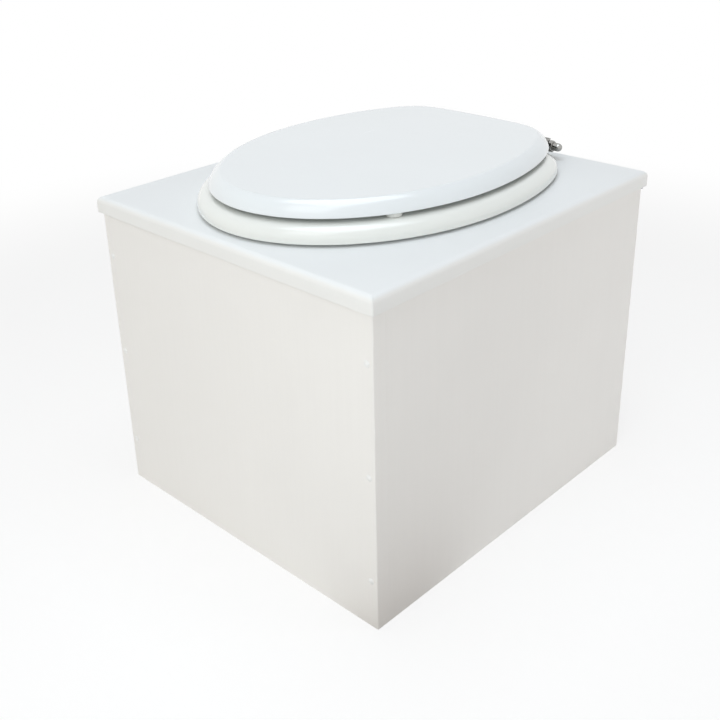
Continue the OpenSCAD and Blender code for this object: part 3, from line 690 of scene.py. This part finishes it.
class TOILET_OT_panels(bpy.types.Operator):
    """Makes the four painted panels of the box"""
    bl_idname = "toilet.panels"
    bl_label = "Panels"

    def execute(self, context):
        look = context.scene.toilet.box
        soft = look.soft_edge
        for node, facing in (("front_panel", -1), ("back_panel", 1)):
            soft_block(node, soft, "_painted", "white_panel",
                       panel_outline(node, facing, look.panel_round, soft))
        for node in ("left_side_panel", "right_side_panel"):
            soft_block(node, soft, "_painted", "white_panel")
        return {"FINISHED"}


class TOILET_OT_base(bpy.types.Operator):
    """Makes the plywood base panel and the two pine cleats under it"""
    bl_idname = "toilet.base"
    bl_label = "Base"

    def execute(self, context):
        soft = context.scene.toilet.box.soft_edge
        for node, slot in (("base_panel", "plywood"), ("left_base_cleat", "pine"),
                           ("right_base_cleat", "pine")):
            soft_block(node, soft, "_wood", slot)
        return {"FINISHED"}


class TOILET_OT_top_board(bpy.types.Operator):
    """Makes the top board with its rounded edge and its long round-ended hole"""
    bl_idname = "toilet.top_board"
    bl_label = "Top board"

    def execute(self, context):
        look = context.scene.toilet.box
        low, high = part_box("top_board")
        hole_low, hole_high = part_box("splash_guard")
        half = (hole_high - hole_low) / 2 - Vector((FLANGE, FLANGE, 0))
        centre_y = (hole_low.y + hole_high.y) / 2
        outline = soft_rectangle(low.xy, high.xy, look.board_corner, 30, 5)
        angles = np.arctan2(outline[:, 1] - centre_y, outline[:, 0])
        hole = stadium(half.x, half.y, centre_y, angles)
        r, rim, soft = look.board_round, 1.5 * MM, 0.8 * MM

        def inset(by):
            corner = max(look.board_corner - by, 0.4 * MM)
            return soft_rectangle((low.x + by, low.y + by), (high.x - by, high.y - by),
                                  corner, 30, 5)

        rows = eased_rows(inset, soft, -soft, low.z, 3)[::-1]
        rows += eased_rows(inset, r, r, high.z, 10)
        rows += rounded_rows(hole, -rim, rim, high.z, False, 4)
        rows += rounded_rows(hole, -soft, -soft, low.z, True, 3)
        Shape().loft(rows, closed=True).piece("top_board_painted", "top_board", "white_board",
                                              crease=40)
        return {"FINISHED"}


class TOILET_OT_splash_guard(bpy.types.Operator):
    """Makes the steel collar that leads from the board's hole into the bucket"""
    bl_idname = "toilet.splash_guard"
    bl_label = "Splash guard"

    def execute(self, context):
        low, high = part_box("splash_guard")
        sheet, bend, hem = 1.2 * MM, 2.0 * MM, 0.5 * MM
        half = (high - low) / 2 - Vector((FLANGE, FLANGE, 0))
        hole = stadium(half.x, half.y, (low.y + high.y) / 2, around(192))
        profile = fillet([(0, low.z + 4 * MM, 0), (0, low.z, hem), (sheet, low.z, hem),
                          (sheet, high.z - sheet, bend), (FLANGE, high.z - sheet, hem),
                          (FLANGE, high.z, hem), (0, high.z, hem), (0, low.z + 8 * MM, 0)], 5)
        Shape().loft([lifted(grown(hole, d), z) for d, z in profile], closed=True).piece(
            "splash_guard_sheet", "splash_guard", "steel")
        return {"FINISHED"}


# -------- seat

class TOILET_OT_seat_ring(bpy.types.Operator):
    """Makes the lacquered seat ring"""
    bl_idname = "toilet.seat_ring"
    bl_label = "Seat ring"

    def execute(self, context):
        look = context.scene.toilet.seat
        low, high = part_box("seat_ring")
        outer = oval(high.x, look.widest - low.y, look.ring_taper, look.ring_back,
                     look.ring_softness, look.steps, look.widest)
        side, front, taper, back, middle = 112 * MM, 135 * MM, 170 * MM, 127 * MM, -24 * MM
        opening = oval(side, front, taper, back, 6, look.steps, middle)
        under, across, drop, lip = 1.5 * MM, 20 * MM, 14 * MM, 9 * MM
        rows = rounded_rows(outer, under, -under, low.z, False, 5)
        rows += rounded_rows(outer, across, drop, high.z, True, 14)
        rows += rounded_rows(opening, -lip, lip, high.z, False, 9)
        rows += rounded_rows(opening, -under, -under, low.z, True, 4)
        Shape().loft(rows, closed=True).piece("seat_ring_lacquered", "seat_ring", "seat_lacquer",
                                              "ring_lacquer", 50)
        return {"FINISHED"}


class TOILET_OT_seat_lid(bpy.types.Operator):
    """Makes the lacquered lid"""
    bl_idname = "toilet.seat_lid"
    bl_label = "Seat lid"

    def execute(self, context):
        look = context.scene.toilet.seat
        low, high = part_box("seat_lid")
        outline = oval(high.x, look.widest - low.y, look.lid_taper, look.lid_back,
                       look.lid_softness, look.steps, look.widest)
        under, start, end = 1 * MM, math.radians(look.lid_rise), math.radians(look.lid_fold)
        rows = [lifted(grown(outline, -8 * MM), low.z)]
        rows += rounded_rows(outline, under, -under, low.z, False, 5)
        rise = high.z - low.z - under
        for a in arc(16, start, end)[1:]:
            across = (math.cos(start) - math.cos(a)) / (math.cos(start) - math.cos(end))
            up = (math.sin(a) - math.sin(start)) / (math.sin(end) - math.sin(start))
            slope = grown(outline, -look.lid_slope * across)
            rows.append(lifted(slope, low.z + under + rise * up))
        rows.append(lifted(grown(outline, -look.lid_slope - 1.5 * MM), high.z))
        Shape().loft(rows).piece("seat_lid_lacquered", "seat_lid", "seat_lacquer", "lid_lacquer",
                                 50)
        return {"FINISHED"}


class TOILET_OT_bumpers(bpy.types.Operator):
    """Makes the rubber bumpers under the ring and the lid, and the gaskets of the posts"""
    bl_idname = "toilet.bumpers"
    bl_label = "Bumpers"

    def execute(self, context):
        radius = 9 * MM
        for node, above in (("ring_bumpers", "seat_ring"), ("lid_bumpers", "seat_lid")):
            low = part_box(node)[0]
            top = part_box(above)[0].z
            shape, foot = Shape(), low.z + 0.05 * MM
            for x, y in solid_centres(node):
                shape.turn(fillet([(0, foot, 0), (radius, foot, 1.2 * MM), (radius, top, 0.6 * MM),
                                   (0, top, 0)], 5), Matrix.Translation((x, y, 0)))
            shape.piece(node + "_rubber", node, "white_rubber")
        softened("post_gaskets", "_rubber", "white_rubber", 0.2 * MM)
        return {"FINISHED"}


# -------- metalwork

def level_rows(profile):
    """Rows round +Z from (radius, height) pairs; a radius may be given for each angle."""
    angles = around(ROW_STEPS)
    return [np.column_stack([r * np.cos(angles), r * np.sin(angles), np.full(ROW_STEPS, z)])
            for r, z in profile]


def nut_rows(radius, low, high):
    """Rows of a hexagonal nut whose corners are chamfered at both ends."""
    half = math.pi / 6
    flat = radius * math.cos(half)
    body = flat / np.cos((around(ROW_STEPS) + half) % (2 * half) - half)
    drop, start = (radius - flat) * 0.6, flat * 0.985
    shares = [(np.minimum(body, start + (radius - start) * t), drop * t)
              for t in np.linspace(0, 1, 5)]
    return level_rows([(r, low + rise) for r, rise in shares]
                      + [(r, high - rise) for r, rise in reversed(shares)])


class TOILET_OT_seat_hinge(bpy.types.Operator):
    """Makes the chromed posts, rod, eyes, plates and cap nuts of the seat's hinge"""
    bl_idname = "toilet.seat_hinge"
    bl_label = "Seat hinge"

    def execute(self, context):
        edge = context.scene.toilet.hardware.edge
        for node in ("left_hinge_post", "right_hinge_post", "left_ring_hinge", "right_ring_hinge",
                     "left_lid_hinge", "right_lid_hinge", "seat_hinge_rod"):
            softened(node, "_chromed", "chrome", edge)
        for node in ("stud_washers", "post_studs"):
            softened(node, "_steel", "steel", 0.2 * MM)
        low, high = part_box("hinge_cap_nuts")
        axis_y, axis_z = (low.y + high.y) / 2, (low.z + high.z) / 2
        nut, skirt, dome, end = 7.5 * MM, 6.5 * MM, 5.2 * MM, 18.5 * MM
        turned, stud_nut, shape = math.radians(18), 5.8 * MM, Shape()
        for side in (-1, 1):
            place = (Matrix.Translation((side * (high.x - end), axis_y, axis_z))
                     @ Matrix.Rotation(side * RIGHT_ANGLE, 4, "Y")
                     @ Matrix.Rotation(side * turned, 4, "Z"))
            rows = nut_rows(nut, 0, skirt)
            rows += level_rows([(dome, skirt), (dome, end - dome)])
            rows += level_rows([(dome * math.cos(a), end - dome + dome * math.sin(a))
                                for a in arc(12)[1:-1]])
            rows += level_rows([(0.3 * MM, end)])
            shape.loft(rows, False, place)
        shape.piece("hinge_cap_nuts_chromed", "hinge_cap_nuts", "chrome", crease=30)
        low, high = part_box("stud_nuts")
        shape = Shape()
        for x, y in solid_centres("stud_nuts"):
            shape.loft(nut_rows(stud_nut, low.z, high.z), False, Matrix.Translation((x, y, 0)))
        shape.piece("stud_nuts_steel", "stud_nuts", "steel", crease=30)
        return {"FINISHED"}


class TOILET_OT_back_hinge(bpy.types.Operator):
    """Makes the long hinge at the back: two leaves and a pin"""
    bl_idname = "toilet.back_hinge"
    bl_label = "Back hinge"

    def execute(self, context):
        for node in ("back_hinge_fixed_leaf", "back_hinge_moving_leaf", "back_hinge_pin"):
            softened(node, "_steel", "steel", 0.15 * MM)
        return {"FINISHED"}


class TOILET_OT_screws(bpy.types.Operator):
    """Makes the screws of the panels, hinges, cleats and splash guard"""
    bl_idname = "toilet.screws"
    bl_label = "Screws"

    def execute(self, context):
        radius, rise, shank = 4 * MM, 1.4 * MM, 2 * MM
        heights = (62 * MM, 195 * MM, 328 * MM)
        dome = (radius ** 2 + rise ** 2) / (2 * rise)
        profile = [(dome * math.sin(a), -rise + dome * (1 - math.cos(a)))
                   for a in arc(8, 0, math.asin(radius / dome))]
        profile += [(shank, 0), (shank, 43 * MM), (0, 45 * MM)]
        for node, face in (("front_panel_screws", 1), ("back_panel_screws", -1)):
            low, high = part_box(node)
            y = low.y + rise if face > 0 else high.y - rise
            shape = Shape()
            for x in (low.x + radius, high.x - radius):
                for z in heights:
                    shape.turn(profile, Matrix.Translation((x, y, z))
                               @ Matrix.Rotation(-face * RIGHT_ANGLE, 4, "X"), 32)
            shape.piece(node + "_domed", node, "white_screw")
        for node in ("cleat_screws", "base_screws", "back_hinge_lower_screws",
                     "back_hinge_upper_screws", "splash_guard_screws", "ring_hinge_screws",
                     "lid_hinge_screws"):
            softened(node, "_steel", "steel", 0.15 * MM)
        return {"FINISHED"}


# -------- bucket

class TOILET_OT_bucket(bpy.types.Operator):
    """Makes the moulded bucket with its rolled rim, ribs and ears"""
    bl_idname = "toilet.bucket"
    bl_label = "Bucket"

    def execute(self, context):
        low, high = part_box("bucket")
        centre_y = (low.y + high.y) / 2
        top, bottom = 152 * MM, 128 * MM
        height, wall, rim = high.z - low.z, 3 * MM, 3.5 * MM

        def radius(z):
            return bottom + (top - bottom) * z / height

        outer = [(0, 2 * MM, 0), (112 * MM, 2 * MM, 1.5 * MM), (114 * MM, 0, 1 * MM),
                 (bottom, 0, 5 * MM)]
        for z in (0.60 * height, height - 34 * MM):  # the two ribs
            outer += [(radius(z) + out, z + up, 0.8 * MM) for out, up in
                      ((0, 0), (1.6 * MM, 1 * MM), (1.6 * MM, 3 * MM), (0, 4 * MM))]
        outer += [(radius(height - 12 * MM), height - 12 * MM, 1 * MM),
                  (top + rim, height - 10 * MM, 1.2 * MM), (top + rim, height - 2 * MM, 2 * MM),
                  (top + rim - 2 * MM, height, 1.5 * MM), (top - wall, height, 1.2 * MM),
                  (bottom - wall, wall, 6 * MM), (0, wall, 0)]
        place = Matrix.Translation((0, centre_y, low.z))
        bucket = Shape().turn(fillet(outer, 5), place, 144).piece("bucket_moulded", "bucket",
                                                                  "bucket_plastic")
        ears = Shape()
        for side in (-1, 1):
            ears.turn(fillet([(0, 0, 0), (9.5 * MM, 0, 0), (8 * MM, 4 * MM, 1 * MM),
                              (8 * MM, 6.5 * MM, 1.2 * MM), (4 * MM, 6.5 * MM, 0.4 * MM),
                              (2.3 * MM, 5.6 * MM, 0.3 * MM), (2.3 * MM, 4 * MM, 0),
                              (0, 4 * MM, 0)]),
                      Matrix.Translation((side * 148.5 * MM, centre_y, high.z - EAR_DROP))
                      @ Matrix.Rotation(side * RIGHT_ANGLE, 4, "Y"), 40)
        joined(bucket, bpy.data.objects.new("ears", ears.mesh("ears")))
        return {"FINISHED"}


def bail_frame():
    """Where the bail hangs: the middle of its pivots, and its tilt below level."""
    low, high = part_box("bucket")
    pivot = Vector((0, (low.y + high.y) / 2, high.z - EAR_DROP))
    tilt = math.radians(-30)
    return Matrix.Translation(pivot) @ Matrix.Rotation(tilt, 4, "X")


class TOILET_OT_bail(bpy.types.Operator):
    """Makes the bucket's wire bail and its ridged grip"""
    bl_idname = "toilet.bail"
    bl_label = "Bail"

    def execute(self, context):
        look = context.scene.toilet.bucket
        wire = look.wire
        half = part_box("bucket_bail")[1].x - wire
        straight, arm, bend = 57.5 * MM, 80 * MM, 3.5 * MM
        big = half - straight
        side = [(149 * MM, 0)]
        side += [(half - bend + bend * math.sin(a), bend - bend * math.cos(a)) for a in arc(8)]
        side += [(half - big + big * math.cos(a), arm + big * math.sin(a)) for a in arc(24)]
        path = [(x, y, 0) for x, y in side] + [(-x, y, 0) for x, y in reversed(side)]
        path = [bail_frame() @ Vector(p) for p in path]
        Shape().sweep(path, wire).piece("bucket_bail_wire", "bucket_bail", "steel")
        grip_half, grip_r, bore, cuff = 55 * MM, 10 * MM, wire + 0.2 * MM, 6 * MM
        groove, pitch = grip_r - 1.1 * MM, 2 * (grip_half - cuff) / look.ribs
        corners = [(bore, -grip_half + 1 * MM, 0), (bore, -grip_half, 0.4 * MM),
                   (grip_r, -grip_half, 2.4 * MM), (grip_r, -grip_half + cuff, 0.5 * MM)]
        for i in range(look.ribs):
            start = -grip_half + cuff + i * pitch
            corners += [(groove, start + 0.12 * pitch, 0.8 * MM),
                        (groove, start + 0.3 * pitch, 0.8 * MM),
                        (grip_r, start + 0.45 * pitch, 1.5 * MM),
                        (grip_r, start + 0.97 * pitch, 1.0 * MM)]
        corners += [(grip_r, grip_half, 2.4 * MM), (bore, grip_half, 0.4 * MM),
                    (bore, grip_half - 1 * MM, 0)]
        place = (bail_frame() @ Matrix.Translation((0, arm + big, 0))
                 @ Matrix.Rotation(RIGHT_ANGLE, 4, "Y"))
        Shape().turn(fillet(corners), place, closed=True).piece(
            "bail_grip_ridged", "bail_grip", "grip_plastic")
        return {"FINISHED"}


# -------- stage

def staged(name, data):
    """Links an object that isn't part of the toilet."""
    made = bpy.data.objects.new(name, data)
    bpy.context.scene.collection.objects.link(made)
    return made


def white_to_camera(f, shaded, white):
    """Mixes a shaded surface with a plain white one that only straight and mirrored views see."""
    camera, glossy, transmission = (f.add("LightPath", out=ray) for ray in (
        "Is Camera Ray", "Is Glossy Ray", "Is Transmission Ray"))
    return f.add("MixShader", {}, {0: camera + glossy + transmission, 1: shaded, 2: white})


class TOILET_OT_stage(bpy.types.Operator):
    """Makes the camera, the pale floor, the lamps and the surroundings"""
    bl_idname = "toilet.stage"
    bl_label = "Stage"

    def execute(self, context):
        look = context.scene.toilet.stage
        self.camera(context)
        self.floor(look)
        self.lamps(look)
        self.surroundings(context, look)
        context.scene.view_settings.view_transform = "Standard"
        return {"FINISHED"}

    def camera(self, context):
        data = bpy.data.cameras.new("camera")
        data.sensor_width, data.lens = 36, 51.143
        data.shift_x, data.shift_y = 0.017783, -0.089342
        made = staged("camera", data)
        across = Vector((0.71832053, 0.69519932, -0.02671168))
        up = Vector((-0.26896089, 0.3129059, 0.91090611))
        back = across.cross(up)
        turn = Matrix((across, up, back)).transposed().to_4x4()
        made.matrix_world = Matrix.Translation((0.823436, -0.886733, 0.799115)) @ turn
        context.scene.camera = made

    def floor(self, look):
        shape = Shape()
        sides, radius = 128, look.floor_radius
        shape.add([(radius * math.cos(a), radius * math.sin(a), 0) for a in around(sides)],
                  [tuple(range(sides))])
        made = staged("floor", shape.mesh("floor"))
        f = Finish("floor")
        speckle = f.noise(3.0, (1, 1, 1), 3.0, 0.5)
        away = f.add("VectorMath", {"operation": "LENGTH"}, {0: f.place}, "Value")
        base = tuple(look.floor_colour)
        # Painted shade: near the box's near corner the floor is darker for bounced light only; the
        # camera never sees it, and it shades the panels' near bottom corner.
        near_corner, shade_patch_reach, shade_patch_end = (0.32, -0.25, 0), 0.08, 0.20
        corner = f.add("VectorMath", {"operation": "DISTANCE"}, {0: f.place, 1: near_corner},
                       "Value")
        shade = f.mix(speckle, tinted(base, 0.99), tinted(base, 1.01))
        shade = f.mix(1 - corner.step(shade_patch_reach, shade_patch_end), shade, tuple(look.dull))
        plain = f.add("BsdfDiffuse", {}, {"Color": shade})
        shadowed = f.add("BsdfDiffuse", {}, {"Color": (1, 1, 1, 1)})
        bright = f.add("Emission", {}, {"Color": (1, 1, 1, 1), "Strength": 1.0})
        share_white = 1 - look.shadow * (1 - away.step(0.55 * look.clear, look.clear))
        seen = f.add("MixShader", {}, {0: share_white, 1: shadowed, 2: bright})
        made.data.materials.append(f.end(white_to_camera(f, plain, seen)))

    def lamps(self, look):
        for name, watts, size, spot, tint, in_gloss in (
            ("top_lamp", look.top, 1.4, (0, 0, 2.4), (0.83, 0.925, 1.0), True),
            ("lip_lamp", look.lip, 1.0, (0.38, -1.2, 2.1), (0.95, 0.98, 1.0), True),
            ("front_lamp", look.front, 1.1, (0.62, -1.3, 0.9), (0.90, 0.965, 1.0), False),
            ("side_lamp", look.side, 0.8, (1.6, 0.9, 0.6), (0.95, 0.98, 1.0), False),
            ("fill_lamp", look.fill, 1.0, (-1.3, -1.9, 0.9), (1.0, 0.82, 0.58), False),
        ):
            data = bpy.data.lights.new(name, "AREA")
            data.shape, data.size, data.energy, data.color = "SQUARE", size, watts, tint
            made = staged(name, data)
            made.location, made.visible_glossy = spot, in_gloss
            towards = Vector((0, 0, 0.3)) - Vector(spot)
            made.rotation_euler = towards.to_track_quat("-Z", "Y").to_euler()

    def surroundings(self, context, look):
        f = Finish("surroundings", world=True)
        x, y = f.axis(0), f.axis(1)
        near, far = 0.75, 0.25
        towards = y.negative() ** 2 * near + y * y * far + x.negative() ** 2 * near
        even, forward, white = (
            f.add("Background", {}, {"Color": tint, "Strength": strength}) for tint, strength in (
                ((1.0, 0.945, 0.925, 1), look.ambient),
                ((1.0, 0.985, 0.94, 1), look.ambient_front), ((1, 1, 1, 1), 1.0)))
        ambient = f.add("MixShader", {}, {0: towards, 1: even, 2: forward})
        context.scene.world = f.end(white_to_camera(f, ambient, white))


# -------- panel and registration

STEPS = (TOILET_OT_panels, TOILET_OT_base, TOILET_OT_top_board, TOILET_OT_splash_guard,
         TOILET_OT_seat_ring, TOILET_OT_seat_lid, TOILET_OT_bumpers, TOILET_OT_seat_hinge,
         TOILET_OT_back_hinge, TOILET_OT_screws, TOILET_OT_bucket, TOILET_OT_bail, TOILET_OT_stage)


class TOILET_PT_sidebar(bpy.types.Panel):
    """Settings and steps of the composting toilet"""
    bl_idname = "TOILET_PT_sidebar"
    bl_label = "Composting toilet"
    bl_space_type = "VIEW_3D"
    bl_region_type = "UI"
    bl_category = "Composting toilet"

    def draw(self, context):
        settings = context.scene.toilet
        for group in ("box", "seat", "hardware", "bucket", "stage"):
            area = self.layout.box()
            area.label(text=group.title())
            part = getattr(settings, group)
            for name in part.bl_rna.properties.keys():
                if name not in ("rna_type", "name"):
                    area.prop(part, name)
        for step in STEPS:
            self.layout.operator(step.bl_idname)


CLASSES = (BoxSettings, SeatSettings, HardwareSettings, BucketSettings, StageSettings,
           ToiletSettings, *STEPS, TOILET_PT_sidebar)


def register():
    for one in CLASSES:
        bpy.utils.register_class(one)
    bpy.types.Scene.toilet = PointerProperty(type=ToiletSettings)


def unregister():
    del bpy.types.Scene.toilet
    for one in reversed(CLASSES):
        bpy.utils.unregister_class(one)


def main():
    """Makes every piece in turn."""
    register()
    for step in STEPS:
        group, name = step.bl_idname.split(".")
        getattr(getattr(bpy.ops, group), name)()


if __name__ == "__main__":
    main()
